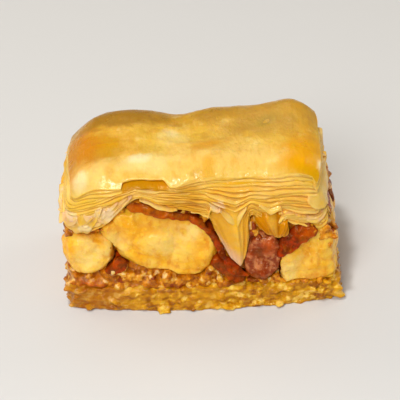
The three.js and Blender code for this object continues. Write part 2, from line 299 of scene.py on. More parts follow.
def remesh(points, faces, voxel, smoothing):
    """One fine skin round closed bodies that may overlap."""
    scratch = add_object("scratch", build_mesh("scratch", points, faces))
    voxels = scratch.modifiers.new("voxels", "REMESH")
    voxels.mode = "VOXEL"
    voxels.voxel_size = voxel * MM
    soften = scratch.modifiers.new("soften", "SMOOTH")
    soften.factor = 0.6
    soften.iterations = smoothing
    bpy.context.view_layer.update()
    made = scratch.evaluated_get(bpy.context.evaluated_depsgraph_get())
    result = read_mesh(made.to_mesh())
    made.to_mesh_clear()
    bpy.data.objects.remove(scratch)
    return result


def thin_sheet(outer, rows, columns, way, thickness):
    """A closed sheet from a grid of points on its outer side, its inner side against way."""
    count = rows * columns
    grid = np.arange(count).reshape(rows, columns)
    border = np.concatenate([grid[0], grid[1:, -1], grid[-1, -2::-1], grid[-2:0:-1, 0]])
    after = np.roll(border, -1)
    rim = np.c_[border, border + count, after + count, after]
    quads = ring_faces(rows, columns, closed=False)
    points = np.concatenate([outer, outer - np.asarray(way) * thickness])
    return points, np.concatenate([quads, quads[:, ::-1] + count, rim])


def node_shape(node):
    """Points in millimetres and triangles of a CAD node, with its shared points joined."""
    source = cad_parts[node]
    points, _, faces = read_mesh(source.data)
    world = np.array(source.matrix_world)
    points = points @ world[:3, :3].T + world[:3, 3] / MM
    points, joined = np.unique(points.round(4), axis=0, return_inverse=True)
    faces = joined.reshape(-1)[faces[0]]
    return points, faces[(faces != np.roll(faces, 1, axis=1)).all(axis=1)]


# ---- Materials


def linear(hex_colour):
    """A linear colour from six hexadecimal digits."""
    parts = [int(hex_colour[i : i + 2], 16) / 255 for i in (0, 2, 4)]
    return tuple(c / 12.92 if c <= 0.04045 else ((c + 0.055) / 1.055) ** 2.4 for c in parts) + (1,)


NOISE_ROUGHNESS = 0.55
EVEN = (1, 1, 1)


class Nodes:
    """Short calls for a material's nodes. Sizes are in millimetres, colours in hexadecimal."""

    def __init__(self, name):
        self.material = bpy.data.materials.new(name)
        self.material.use_nodes = True
        self.tree = self.material.node_tree
        self.shader = self.tree.nodes["Principled BSDF"]
        self.place = self.tree.nodes.new("ShaderNodeTexCoord").outputs["Object"]

    def add(self, kind, inputs=None, **settings):
        node = self.tree.nodes.new("ShaderNode" + kind)
        for key, value in settings.items():
            setattr(node, key, value)
        for key, value in (inputs or {}).items():
            self.put(node.inputs[key], value)
        return node

    def put(self, socket, value):
        if isinstance(value, bpy.types.NodeSocket):
            self.tree.links.new(value, socket)
        else:
            socket.default_value = linear(value) if isinstance(value, str) else value

    def math(self, operation, a, b):
        return self.add("Math", {0: a, 1: b}, operation=operation).outputs[0]

    def attribute(self, name):
        return self.add("Attribute", attribute_name=name).outputs["Fac"]

    def mix(self, factor, a, b):
        return self.add("Mix", {0: factor, 6: a, 7: b}, data_type="RGBA").outputs[2]

    def noise(self, size, detail=3, stretch=EVEN):
        scaled = self.add("Mapping", {"Vector": self.place, "Scale": stretch}).outputs[0]
        inputs = {"Vector": scaled, "Scale": 1 / (size * MM), "Detail": detail,
                  "Roughness": NOISE_ROUGHNESS}
        return self.add("TexNoise", inputs).outputs[0]

    def ramp(self, value, low, high, to_low=0.0, to_high=1.0):
        """An eased number from to_low to to_high, as the value goes from low to high."""
        inputs = {"Value": value, "From Min": low, "From Max": high, "To Min": to_low,
                  "To Max": to_high}
        return self.add("MapRange", inputs, interpolation_type="SMOOTHSTEP").outputs[0]

    def cloud(self, size, detail, low, high, to_low=0.0, to_high=1.0, stretch=EVEN):
        """Noise, as a number from to_low to to_high."""
        return self.ramp(self.noise(size, detail, stretch), low, high, to_low, to_high)

    def mottle(self, colour, size, detail, low, high, strength, tint, stretch=EVEN):
        """The colour, tinted where the noise is past low, and fully past high."""
        share = self.cloud(size, detail, low, high, 0, strength, stretch)
        return self.mix(share, colour, tint)

    def ragged(self, value, size, detail, sway, spread=0.2, stretch=EVEN):
        """The value, moved up and down by noise."""
        waver = self.cloud(size, detail, 0.5 - spread, 0.5 + spread, -sway, sway, stretch)
        return self.math("ADD", value, waver)

    def spot(self, x, y, wide, deep, z=None, high=1.0):
        """0 at a place of the piece, 1 at the given reach from it and more beyond."""
        centre = (x * MM, y * MM, (z or 0) * MM)
        away = self.add("VectorMath", {0: self.place, 1: centre}, operation="SUBTRACT").outputs[0]
        reach = (1 / (wide * MM), 1 / (deep * MM), 0 if z is None else 1 / (high * MM))
        scaled = self.add("VectorMath", {0: away, 1: reach}, operation="MULTIPLY").outputs[0]
        return self.add("VectorMath", {0: scaled}, operation="LENGTH").outputs["Value"]

    def finish(self, colour, roughness, coat, height, depth, coat_roughness, glow, glow_reach):
        """Syrup as a clear coat, over a relief of the given depth that lets light in."""
        bump = self.add("Bump", {"Height": height, "Distance": depth * MM, "Strength": 1.0})
        normal = bump.outputs[0]
        for key, value in (
            ("Base Color", colour), ("Roughness", roughness), ("Normal", normal),
            ("Coat Normal", normal), ("Coat Weight", coat), ("Coat Roughness", coat_roughness),
            ("Coat Tint", SYRUP), ("Specular IOR Level", SHINE), ("Specular Tint", SYRUP_GLINT),
            ("Subsurface Weight", glow), ("Subsurface Radius", glow_reach),
            ("Subsurface Scale", MM),
        ):
            self.put(self.shader.inputs[key], value)
        return self.material


SHINE = 0.3
SYRUP_GLINT = "FFC850"
SYRUP = "FFF0B4"
# the top is painted lighter cream at the front and darker gold towards the back, partly as light
# and shade
CREAM = "F4C66A"
GOLD = "E8B63C"
SHADED_BACK_OLIVE = "BE8E1C"
HONEY = "DE9A02"
SHEET_GOLD = "FFBC20"
AMBER = "E8A200"
DEEP_AMBER = "CE8200"
PALE_FLAKE = "FFD27C"
PAINTED_HIGHLIGHT_WHITE = "FFE6C8"
PAINTED_PINK_GLINT = "F0BCA0"
PALE_PAINTED_HIGHLIGHT = "FFE09A"
WHITE_PAINTED_HIGHLIGHT = "FFF2D2"

STREAKS = (1.4, 0.45, 1)
# size, detail, the noise from and to which it shows, strength, tint and stretch
PHYLLO_MOTTLES = (
    (5, 3, 0.5, 0.72, 0.35, HONEY),
    (3.2, 4, 0.56, 0.7, 0.5, "CE9222"),
    (2.7, 4, 0.56, 0.7, 0.45, "FFDC8C"),
    (2.4, 4, 0.52, 0.72, 0.4, CREAM, STREAKS),
    (2.4, 4, 0.48, 0.3, 0.35, HONEY, STREAKS),
)

# middle x and y, reach along x and y, strength and colour of the top's patches: ambers, darker
# olive browns towards the back that are painted shade, and near-whites that are painted highlights
TOP_PATCHES = (
    (-17.5, -2, 7, 6, 1, "CE9200"),
    (-21.6, -1.5, 4.6, 9, 1, DEEP_AMBER),
    # painted shade: darker olive browns towards the back of the top
    (-20, 9.5, 5, 5, 0.7, "A87410"),
    (-13.5, 9, 8.5, 6, 1, "A4740C"),
    (20, -7.2, 5.6, 7.4, 1, AMBER),
    (1.5, -4, 3, 2.4, 0.8, HONEY),
    (1.9, -11, 1.5, 4, 0.6, AMBER),
    # painted shade: darker olive browns towards the back of the top
    (3, 7.8, 4.4, 3, 0.9, "B4840A"),
    (12, 4.5, 11, 7, 0.8, "BC8E34"),
    # painted highlights on the front roll and the top
    (-8.5, -8.5, 5, 2.6, 0.6, PALE_PAINTED_HIGHLIGHT),
    (-18.5, -11, 2.6, 4, 0.35, PALE_PAINTED_HIGHLIGHT),
    (-4.5, 0, 3.4, 3.4, 0.4, "FFDE96"),
    (-10.4, -7, 2.4, 1.4, 0.5, WHITE_PAINTED_HIGHLIGHT),
    (-21, -9.6, 1.4, 2.4, 0.45, "FFEEC8"),
    (-4.8, 2.2, 1.8, 1.8, 0.35, "FFEEC0"),
    (22, -8.4, 0.7, 1.4, 0.7, WHITE_PAINTED_HIGHLIGHT),
)

# middle x and z on the front cut, reach along x and z of painted highlights on the sheets' flakes
PAINTED_FLAKE_HIGHLIGHTS = (
    (-20.6, 17.6, 1.6, 1), (-16.4, 20.6, 2.2, 1.3), (-23.2, 19.6, 1.6, 0.8),
    (3.4, 21.6, 1.4, 1.2),
)


def make_phyllo():
    """Sheets: cream in front, partly painted light, and olive at the back of the top, painted
    shade; golden at their cut edges.
    """
    n = Nodes("phyllo")
    edge = n.attribute("edge")
    top = n.ramp(edge, 0.0, 0.4, 1.0, 0.0)
    back = n.ragged(n.add("SeparateXYZ", {0: n.place}).outputs[1], 7, 2, 3 * MM)
    # painted light and shade: lighter cream at the front of the top, darker gold and then olive
    # towards its back
    colour = n.mix(n.ramp(back, -8 * MM, 1 * MM), CREAM, GOLD)
    colour = n.mix(n.math("MULTIPLY", n.ramp(back, 0, 12 * MM), top), colour, SHADED_BACK_OLIVE)
    for row in PHYLLO_MOTTLES:
        colour = n.mottle(colour, *row)
    # patches of the top, among them painted shade and painted highlights
    for x, y, wide, deep, strength, tint in TOP_PATCHES:
        rim = n.ragged(n.spot(x, y, wide, deep), 4, 3, 0.3, 0.25)
        share = n.math("MULTIPLY", n.ramp(rim, 1.3, 0.35, 0, strength), top)
        colour = n.mix(share, colour, tint)
    streak = n.cloud(1.4, 3, 0.3, 0.7, 0.5, 1.0, (0.5, 0.5, 2.5))
    colour = n.mix(n.math("MULTIPLY", edge, streak), colour, SHEET_GOLD)
    colour = n.mix(n.attribute("deep"), colour, DEEP_AMBER)
    colour = n.mix(n.attribute("pale"), colour, PALE_FLAKE)
    # painted highlights on the flakes of the front cut
    for x, z, wide, high in PAINTED_FLAKE_HIGHLIGHTS:
        rim = n.ragged(n.spot(x, -HALF_W, wide, 6, z, high), 1.2, 3, 0.4, 0.25)
        share = n.math("MULTIPLY", n.ramp(rim, 1.1, 0.5, 0, 0.8), edge)
        colour = n.mix(share, colour, PAINTED_HIGHLIGHT_WHITE)
    # painted pinkish highlights, on the tatters and at a fold's tip
    colour = n.mix(n.attribute("blush"), colour, PAINTED_PINK_GLINT)
    ridge = n.math("SUBTRACT", n.noise(3.2, 2, (1, 0.5, 1)), 0.5)
    crinkle = n.ramp(n.math("ABSOLUTE", ridge, 0), 0.0, 0.08, 1.0, 0.0)
    height = n.math("MULTIPLY", n.noise(2.2, 3, (1.2, 0.5, 1)), 1.4)
    height = n.math("ADD", n.noise(0.7, 3, (1, 0.6, 1)), height)
    height = n.math("ADD", height, n.math("MULTIPLY", crinkle, 0.15))
    blue = n.add("SeparateColor", {0: colour}).outputs[2]
    soaked = n.math("MULTIPLY", n.ramp(blue, 0, 0.015, 0.24, 0), top)
    coat = n.math("SUBTRACT", n.ramp(n.attribute("deep"), 0, 0.7, 0.37, 0.12), soaked)
    roughness = n.cloud(3, 3, 0.35, 0.65, 0.26, 0.46)
    return n.finish(colour, roughness, coat, height, depth=0.1, coat_roughness=0.13, glow=0.3,
                    glow_reach=(1.4, 0.7, 0.1))


FLESH_PALE = "FFCE58"
# cream of the paler flesh, also painted on as highlights
CREAM_FLESH_AND_HIGHLIGHT = "FFDA82"
FLESH_GOLD = "F8B824"
FLESH_AMBER = "FAB008"
FLESH_ORANGE = "E08A0A"
SKIN_ORANGE = "C46604"
SKIN_RED = "AC2E00"
SKIN_DARK = "641A02"
SKIN_PLUM = "8C3008"

FLESH_MOTTLES = (
    (1.1, 4, 0.5, 0.64, 0.5, "FFD040"),
    (0.5, 3, 0.56, 0.72, 0.15, FLESH_ORANGE),
    (0.6, 3, 0.62, 0.74, 0.6, CREAM_FLESH_AND_HIGHLIGHT, (1, 1, 1.3)),
)

# middle x and z on the front cut, reach along x and z, strength and colour of kernels' patches;
# the creams are partly paler flesh, partly painted highlight
KERNEL_PATCHES = (
    (-6, 14.4, 5, 3.6, 0.6, CREAM_FLESH_AND_HIGHLIGHT),
    (-15, 14.6, 3, 2.2, 0.6, CREAM_FLESH_AND_HIGHLIGHT),
    (-1.5, 16.4, 2.2, 2, 0.9, CREAM_FLESH_AND_HIGHLIGHT),
    (-5.6, 13.6, 1.8, 2.4, 0.5, "FFDC78"),
    (-9.4, 16.8, 2.2, 1.4, 0.5, FLESH_AMBER),
    (0, 11.4, 2.4, 2.2, 0.5, FLESH_AMBER),
    (-13, 18, 2.4, 2.6, 0.9, FLESH_AMBER),
    (-19.8, 11.2, 4.6, 4, 0.95, CREAM_FLESH_AND_HIGHLIGHT),
    (-24.2, 13.4, 2, 2, 0.9, FLESH_AMBER),
    (15.9, 7.2, 3.2, 3.4, 0.95, CREAM_FLESH_AND_HIGHLIGHT),
    (20.5, 5.6, 3, 1.8, 0.6, FLESH_ORANGE),
)


def walnut_skin(n):
    """Red brown, orange where it glows and dark in its folds; painted shade darkens the skin
    bands' upper edge, and small pink glints are painted.
    """
    red = n.mix(n.cloud(1.6, 4, 0.38, 0.62), SKIN_RED, SKIN_DARK)
    red = n.mottle(red, 2.6, 3, 0.5, 0.68, 0.3, SKIN_ORANGE)
    ember = n.math("MULTIPLY", n.attribute("ember"), n.cloud(1.2, 4, 0.36, 0.58, 0.45, 1.0))
    red = n.mix(ember, red, SKIN_ORANGE)
    red = n.mix(n.attribute("shade"), red, SKIN_DARK)
    # small painted pink glints
    return n.mottle(red, 0.6, 2, 0.64, 0.74, 0.3, "D07C40")


def plum_skin(n):
    """The dark kernel's skin, lit through at one place, where that glow is painted, and with small
    painted pinkish highlights.
    """
    plum = n.mix(n.cloud(1.0, 4, 0.42, 0.64), SKIN_PLUM, "C87C50")
    # painted glow where the skin is lit through
    lit = n.ramp(n.spot(12.2, -HALF_W, 1.8, 8, 12.4, 2.2), 1.1, 0.4, 0, 0.85)
    plum = n.mix(lit, plum, "C85414")
    # small painted pinkish highlights
    return n.mottle(plum, 0.5, 3, 0.6, 0.7, 0.6, "DCA080")


def make_walnut():
    """Flesh, under the skin where the kernel wears it."""
    n = Nodes("walnut")
    skin, plum = n.attribute("skin"), n.attribute("plum")
    colour = n.mix(n.cloud(3.4, 4, 0.38, 0.6), FLESH_GOLD, FLESH_PALE)
    colour = n.mottle(colour, 1.3, 4, 0.5, 0.68, 0.7, FLESH_ORANGE, (1, 1, 0.6))
    colour = n.mix(n.math("MULTIPLY", n.attribute("crease"), 0.5), colour, FLESH_ORANGE)
    for x, z, wide, high, strength, tint in KERNEL_PATCHES:
        rim = n.ragged(n.spot(x, -HALF_W, wide, 8, z, high), 1.8, 4, 0.4, 0.25)
        colour = n.mix(n.ramp(rim, 1.2, 0.2, 0, strength), colour, tint)
    for row in FLESH_MOTTLES:
        colour = n.mottle(colour, *row)
    colour = n.mix(n.ramp(n.ragged(skin, 0.8, 3, 0.3), 0.35, 0.65), colour, walnut_skin(n))
    colour = n.mix(plum, colour, plum_skin(n))
    height = n.math("ADD", n.noise(0.6), n.math("MULTIPLY", n.noise(1.6), 1.8))
    coat = n.ramp(n.math("SUBTRACT", skin, plum), 0, 1, 0.4, 0.1)
    roughness = n.cloud(1.5, 2, 0.3, 0.7, 0.2, 0.4)
    return n.finish(colour, roughness, coat, height, depth=0.16, coat_roughness=0.05, glow=0.3,
                    glow_reach=(1.6, 0.7, 0.1))


# colours at rising shares of a bit's shade
NUT_SHADES = (
    (0, "90480A"), (0.3, "B4680A"), (0.5, "D08010"), (0.66, "DE981C"), (0.8, "EAB044"),
    (0.92, "F0C274"), (1, "F8D09A"),
)
PASTRY_SHADES = (
    (0, "985804"), (0.3, "BC7A08"), (0.55, "CE920E"), (0.8, "E0AA28"), (1, "F6CC68"),
)


def bit_colour(n, shades, **uneven):
    """A colour for each bit, from its shade and a little noise."""
    shade = n.ragged(n.attribute("shade"), **uneven)
    colour = shades[0][1]
    for (low, _), (high, tint) in zip(shades, shades[1:]):
        colour = n.mix(n.ramp(shade, low, high), colour, tint)
    return colour


def finish_crumbly(n, colour, glow, glow_reach):
    height = n.math("ADD", n.noise(0.35), n.noise(1.1))
    return n.finish(colour, roughness=0.28, coat=0.4, height=height, depth=0.16,
                    coat_roughness=0.06, glow=glow, glow_reach=glow_reach)


def make_ground_nut():
    n = Nodes("ground_nut")
    colour = bit_colour(n, NUT_SHADES, size=0.7, detail=4, sway=0.2)
    colour = n.mix(n.ramp(n.attribute("skin"), 0.4, 0.6), colour, "8E3608")
    ember = n.ramp(n.spot(-20.5, -HALF_W, 4, 8, 4.8, 2.4), 1.1, 0.3, 0, 0.7)
    ember = n.math("MULTIPLY", ember, n.cloud(1.2, 3, 0.4, 0.6))
    colour = n.mix(ember, colour, "C04C08")
    return finish_crumbly(n, colour, glow=0.3, glow_reach=(1.2, 0.5, 0.1))


def make_base_pastry():
    n = Nodes("base_pastry")
    colour = bit_colour(n, PASTRY_SHADES, size=1.6, detail=4, sway=0.35, stretch=(0.5, 0.5, 2))
    colour = n.mottle(colour, 4.5, 3, 0.48, 0.68, 0.6, "D2940E")
    soaked = n.ragged(n.spot(-20, -HALF_W, 9, 9, 1.5, 9), 3, 3, 0.3)
    colour = n.mix(n.ramp(soaked, 1.1, 0.3, 0, 0.6), colour, "A85C08")
    return finish_crumbly(n, colour, glow=0.35, glow_reach=(1.5, 0.8, 0.1))


phyllo = make_phyllo()
walnut = make_walnut()
ground_nut = make_ground_nut()
base_pastry = make_base_pastry()

# ---- The lid's sheets

SHEETS = 15
AROUND = 560
BAND = 4.0  # how far in a sheet's band reaches
ACROSS = np.array((0, 0.5, 0.78, 0.92, 1.0))
SHEET_FULL = 0.97  # the share of their spacing that the sheets fill
OPEN_SAG = 2.2  # the lowest sheets follow the folds most
SHEET_SAG = 0.9  # the share of the folds' depth that the lowest sheet takes
THIN_EDGE = 0.6  # the share of its thickness that a sheet keeps at its edge
SOAKED_SHARE = 0.72  # the sheets above it are soaked right through
BUNDLE = 3  # how many sheets run together
LEVEL_STEP, BUNDLE_STEP = 9, 40  # how far apart sheets and bundles are in the noise
SEAM = (-14.3, -5.8)  # where the top sheets end short of the front cut
SEAM_DEPTH, SEAM_SHARE = 1.15, 0.84
STEP_BACK = 1.7  # how far the top sheet ends short of the front cut
FACING_FRONT = -0.9  # the outward y of places on the front cut is below this
# centre x and y, spread along x and y, rise
BLISTERS = (
    (-4.6, 3.6, 0.9, 0.6, 0.2),
    (-6.2, 1.2, 0.6, 0.6, 0.14),
    (-6.8, -1.6, 0.6, 0.9, 0.14),
    (21.2, -9.6, 0.6, 1.4, 0.2),
    (-11, -7.6, 1.6, 0.6, 0.14),
    (-7.4, -8.6, 1.8, 0.7, 0.16),
    (-17.6, -10.4, 0.8, 1.8, 0.16),
    (4.4, -6.8, 1.2, 0.5, 0.12),
    (0.1, 6, 0.7, 4.5, 0.16),
)

spots, out = make_outline(AROUND)
on_front = out[:, 1] < FACING_FRONT
middle = np.c_[np.clip(spots[:, 0], HALF_W - HALF_L, HALF_L - HALF_W), np.zeros(AROUND)]


def outline_at(level):
    """The outline's points at a height, for noise."""
    return np.c_[spots, np.full(AROUND, level)]


def inset_ring(t, inset):
    """The x and y at a share of the way from the block's middle line to its inset outline."""
    rim = spots - out * np.reshape(inset, (-1, 1))
    return (middle + t * (rim - middle)).T


def seam_inset():
    """How far the top sheets end short of the front cut at the seam."""
    x = spots[:, 0]
    start, end = SEAM
    along = smoothstep(start - 0.1, start + 0.3, x) * smoothstep(-end - 0.8, -end + 0.8, -x)
    ragged = 1 + 0.18 * noise(np.c_[x, x * 0, x * 0], 1.7, 21)
    return SEAM_DEPTH * along * ragged * on_front


def step_back(share):
    """How far the sheet at a share of the lid's thickness ends short of the cut, like stairs."""
    front = smoothstep(-6, 1, spots[:, 0]) * smoothstep(-0.5, FACING_FRONT, out[:, 1])
    uneven = 0.3 + 0.25 * noise(outline_at(0), 9, 25)
    return STEP_BACK * np.maximum(front, uneven) * smoothstep(0.5, 1.05, share)


def beside_seam(p, on_front):
    """The share of amber where the front cut is soaked, right of the seam."""
    x = p[:, 0]
    zone = smoothstep(-8, -4.2, x) * smoothstep(2.2, -1.2, x) * on_front
    return zone * (0.5 + 0.3 * noise(p, 3, 22))


def crown_relief(x, y):
    """Wrinkles and blisters of the top."""
    flat = np.c_[x, y, x * 0]
    wrinkle = 1 - np.abs(noise(flat * (0.5, 1, 1), 4.5, 31))
    drag = 1 - np.abs(noise(flat * (1, 0.3, 1), 2.4, 34))
    relief = 0.22 * fractal(flat, 8, 30, 2) + 0.12 * wrinkle**4 + 0.07 * drag**6
    relief = relief + 0.04 * noise(flat, 1.6, 33)
    return relief + swell(BLISTERS, x, y)


def top_height(x, y):
    return lid_top(x, y) + crown_relief(x, y)


def sheet_height(x, y, share):
    """The height of the sheet at a share of the lid's thickness."""
    low = lid_underside(x, y)
    sag = SHEET_SAG * sag_depth(x, y) * (1 - share) ** OPEN_SAG
    return low + (top_height(x, y) - low) * share - sag


def both_sides(by_ring, values):
    """Each ring's share of the values, for a band's upper rings and then its lower ones."""
    rows = np.outer(by_ring, values)
    return np.concatenate([rows, rows[::-1]]).ravel()


seam = seam_inset()


def sheet_band(k):
    """Points of one sheet's band, rings of its upper side and then of its lower side, and how
    much each is an edge, pale or deep amber."""
    share = (k + 0.5) / SHEETS
    x, y = spots.T
    wide, bundle = outline_at(LEVEL_STEP * k), outline_at(BUNDLE_STEP * (k // BUNDLE))
    ragged = 0.2 * noise(wide, 5, 11) + 0.12 * noise(wide, 1.3, 12) + 0.42 * noise(bundle, 8, 16)
    ragged = ragged - step_back(share) - seam * 1.1 * (share > SEAM_SHARE)
    flake = np.maximum(0, noise(wide, 2.6, 13) - 0.5) * 1.9 * (share < 0.75)
    curl = (0.7 * noise(bundle, 7, 14) + 0.55 * noise(wide, 2.4, 15)) * min(1, 5 * (1 - share))
    wave = 0.4 * noise(outline_at(k), 4.5, 20) * min(1, 3 * (1 - share))
    spacing = (top_height(x, y) - lid_underside(x, y)) / SHEETS
    fullness = SHEET_FULL + 0.4 * noise(wide, 5, 23) + 0.2 * noise(wide, 1.8, 24)
    if share > SEAM_SHARE:
        fullness = np.minimum(fullness, SHEET_FULL)
    upper, lower = [], []
    for c in ACROSS:
        inward = c**3 * (ragged + flake * 0.4) - BAND * (1 - c)
        flat = spots + out * inward[:, None]
        inside = np.clip(flat, (-HALF_L, -HALF_W), (HALF_L, HALF_W)).T
        z = sheet_height(*inside, share) + c**4 * (curl * spacing - 0.5 * flake) + c**2 * wave
        half = fullness * spacing / 2 * (1 if c < 1 else THIN_EDGE)
        upper.append(np.c_[flat, z + half])
        lower.append(np.c_[flat, z - half])
    soaked = share > SOAKED_SHARE
    under_seam = seam / SEAM_DEPTH
    light = np.clip(0.1 + 0.6 * noise(bundle, 4, 17) + 0.3 * noise(wide, 2, 18) + flake, 0, 1)
    light = light + under_seam * 0.25 * (0.35 < share < 0.7) + 0.2 * smoothstep(8, 16, x)
    beside = beside_seam(wide, on_front)
    amber = under_seam * soaked + beside + 0.5 * np.clip(noise(bundle, 5, 19), 0, 1)
    light = light * (1 - under_seam * soaked) * (1 - beside)
    return (
        np.concatenate(upper + lower[::-1]),
        both_sides(0.7 * ACROSS**3, np.ones(AROUND)),
        both_sides(ACROSS**4, np.clip(light, 0, 1)),
        both_sides(np.where(soaked, 1, ACROSS), np.clip(amber, 0, 1)),
    )


def make_sheets():
    bands = [sheet_band(k) for k in range(SHEETS)]
    points, edge, pale, deep = (np.concatenate(part) for part in zip(*bands))
    size = len(bands[0][0])
    # the ring after the last is the first
    each = ring_faces(2 * len(ACROSS) + 1, AROUND)[:, ::-1] % size
    faces = np.concatenate([each + k * size for k in range(SHEETS)])
    add_mesh("phyllo_sheets", lean(points), faces, phyllo, "phyllo_lid", edge=edge, pale=pale,
             deep=deep)


CROWN_RINGS = 46
CROWN_THICKNESS = 0.3
# how the hem rolls under: shares of its bulge outwards and of its fall
HEM_ROLL = ((0.6, 0.2), (1.0, 0.55), (0.9, 1.0), (-0.4, 1.0))


def make_crown():
    """The topmost sheet, one closed cap whose hem rolls a little over the cuts."""
    wide = outline_at(0)
    hem = 0.34 + 0.16 * noise(wide, 6, 41) + 0.08 * noise(wide, 1.5, 42)
    bulge = 0.1 + 0.08 * noise(wide, 3, 43)
    inset = seam + step_back(1.0)

    def ring(t, lower):
        x, y = inset_ring(t, inset)
        return np.c_[x, y, top_height(x, y) - lower]

    rings = [ring(t, 0) for t in 1 - (1 - np.linspace(0, 1, CROWN_RINGS)) ** 1.5]
    rim = rings[-1]
    rings += [rim + np.c_[out * (bulge * turn)[:, None], -hem * fall] for turn, fall in HEM_ROLL]
    rings += [ring(t, CROWN_THICKNESS) for t in (0.97, 0.9, 0.6, 0)]
    hem_edge = np.zeros(len(rings) * AROUND)
    hem_edge[CROWN_RINGS * AROUND :] = 0.3
    add_mesh("phyllo_crown", lean(np.concatenate(rings)), ring_faces(len(rings), AROUND)[:, ::-1],
             phyllo, "phyllo_lid", ("phyllo_lid",), edge=hem_edge)


CORE_INSET, CORE_LOWER = 1.3, 0.9


def make_core():
    """The sheets' soaked inside, behind their edges."""

    def ring(t, share):
        x, y = inset_ring(t, CORE_INSET)
        low = lid_underside(x, y) - SHEET_SAG * sag_depth(x, y)
        return np.c_[x, y, low + (lid_top(x, y) - CORE_LOWER - low) * share]

    rings = [ring(t, 0.0) for t in (0, 0.5, 0.8, 0.9, 1)]
    for share in np.linspace(0.06, 0.94, 16):
        wall = ring(1, share)
        push = 0.25 * noise(wall * (1, 1, 6), 3, 51)
        wall[:, :2] += out * push[:, None]
        rings.append(wall)
    rings += [ring(t, 1.0) for t in (1, 0.8, 0.5, 0)]
    ones = np.ones(len(rings) * AROUND)
    add_mesh("phyllo_core", lean(np.concatenate(rings)), ring_faces(len(rings), AROUND), phyllo,
             "phyllo_lid", edge=ones, deep=0.3 * ones)


# ---- Folds that hang over the cuts

FOLD_ACROSS, FOLD_DOWN = 64, 44
FOLD_REACH, FOLD_THICKNESS = 1.05, 0.4
# for each of the SAGS: name, roundness, lift, bulge, amber, and one's painted pinkish highlight at
# its tip and slimness
FOLDS = (
    ("fold_front_deep", 1.3, 2.6, 0.7, 0.5, 0.8, 0.9),
    # the round fold's deeper amber is partly its colour and partly painted shade, where it hangs
    # in the lid's shade
    ("fold_front_round", 2.2, 1.2, 0.9, 1.5),
    ("fold_back_left", 1.3, 1.4, 0.6, 0.4),
    ("fold_back_right", 1.8, 1.2, 0.7, 0.5),
    ("fold_left", 1.3, 1.2, 0.6, 0.4),
    ("fold_right", 1.6, 1.2, 0.6, 0.4),
)


def make_fold(seed, sag, name, roundness, lift, bulge, amber, blush=0.0, slim=1.0):
    """A sheet that hangs down a cut like a curtain, gathered towards its lowest point."""
    cx, cy, left, right, deep, depth = sag
    on_long_cut = abs(cy) == HALF_W
    way = np.array((0, math.copysign(1, cy)) if on_long_cut else (math.copysign(1, cx), 0))
    u = np.linspace(-FOLD_REACH, FOLD_REACH, FOLD_ACROSS)
    shape = np.maximum(0, 1 - np.abs(u) ** roundness) ** (1 / roundness)
    if on_long_cut:
        x, y = cx + u * slim * np.where(u < 0, left, right), u * 0 + cy
    else:
        x, y = u * 0 + cx, cy + u * deep
    along = np.c_[u * 6, u * 0 + seed, u * 0]
    under = lid_underside(x, y)
    low = under - depth * shape + 0.22 * noise(along, 1.1, seed)
    high = under + lift * (1 - np.abs(u / FOLD_REACH) ** 3) + 0.15
    rows = []
    for v in np.linspace(0, 1, FOLD_DOWN):
        z = high + (low - high) * v
        gather = u / max(0.3, 1.25 - v)
        crease = 0.2 * np.sin(gather * 4.6 + seed) + 0.09 * np.sin(gather * 11 + 2 * seed)
        wrinkle = noise(np.c_[gather * 3, u * 0 + v * 4, u * 0 + seed], 1.0, seed + 5)
        crease = crease + 0.14 * wrinkle
        push = bulge * math.sin(math.pi * (0.1 + 0.78 * v)) * np.sqrt(np.cos(u * 1.3))
        push = push + crease * math.sin(math.pi * (0.12 + 0.75 * v)) - 1.3 * (1 - v) ** 4
        rows.append(np.c_[x + way[0] * push, y + way[1] * push, z])
    points, faces = thin_sheet(
        np.concatenate(rows), FOLD_DOWN, FOLD_ACROSS, (*way, 0), FOLD_THICKNESS)
    if (way[0] + way[1] > 0) != on_long_cut:
        faces = faces[:, ::-1]
    down = np.tile(np.repeat(np.linspace(0, 1, FOLD_DOWN), FOLD_ACROSS), 2)
    aside = np.tile(np.abs(u), 2 * FOLD_DOWN)
    left_of_tip = np.tile(np.abs(u + 0.3), 2 * FOLD_DOWN)
    # a painted pinkish highlight along the lower left of the fold's tip
    tip = smoothstep(0.72, 0.95, down) * smoothstep(0.6, 0.25, left_of_tip)
    add_mesh(name, lean(points), faces, phyllo, "phyllo_lid", edge=np.full(len(points), 0.8),
             pale=0.2 * smoothstep(0.86, 1, down), blush=tip * blush,
             deep=amber * smoothstep(-0.2, 1.0, aside + 0.4 * down))


make_crown()
make_sheets()
make_core()
for number, (sag, row) in enumerate(zip(SAGS, FOLDS), 1):
    make_fold(number, sag, *row)

# ---- Kernels

KERNEL_VOXEL, KERNEL_SMOOTHING = 0.26, 8

# where a kernel wears its brown skin: the direction that its surface faces there, and how much
SKINS = {
    "walnut_front_left": ((-0.3, 0.5, 0.8), -2),
    "walnut_front_big": ((0.5, 0.2, 0.86), -2),
    "walnut_front_right": ((-0.62, 0.1, 0.78), 0.35),
    "walnut_front_corner": ((0.7, 0.5, 0.5), -2),
    "walnut_front_chip": ((-0.5, 0, 0.8), 1.3),
    "walnut_front_sliver": ((0, 0, 1), 2),
    "walnut_front_dark": ((0, 0, 1), 2),
    "walnut_back_4": ((0, 0, 1), 2),
    "walnut_left_2": ((0, 0, 1), 2),
}
USUAL_SKIN = ((0.15, 0, 0.98), 0.42)
DARK_KERNEL = "walnut_front_dark"
EMBERS = {"walnut_front_right": 0.5, "walnut_front_sliver": 0.3, "walnut_front_chip": 0.2}

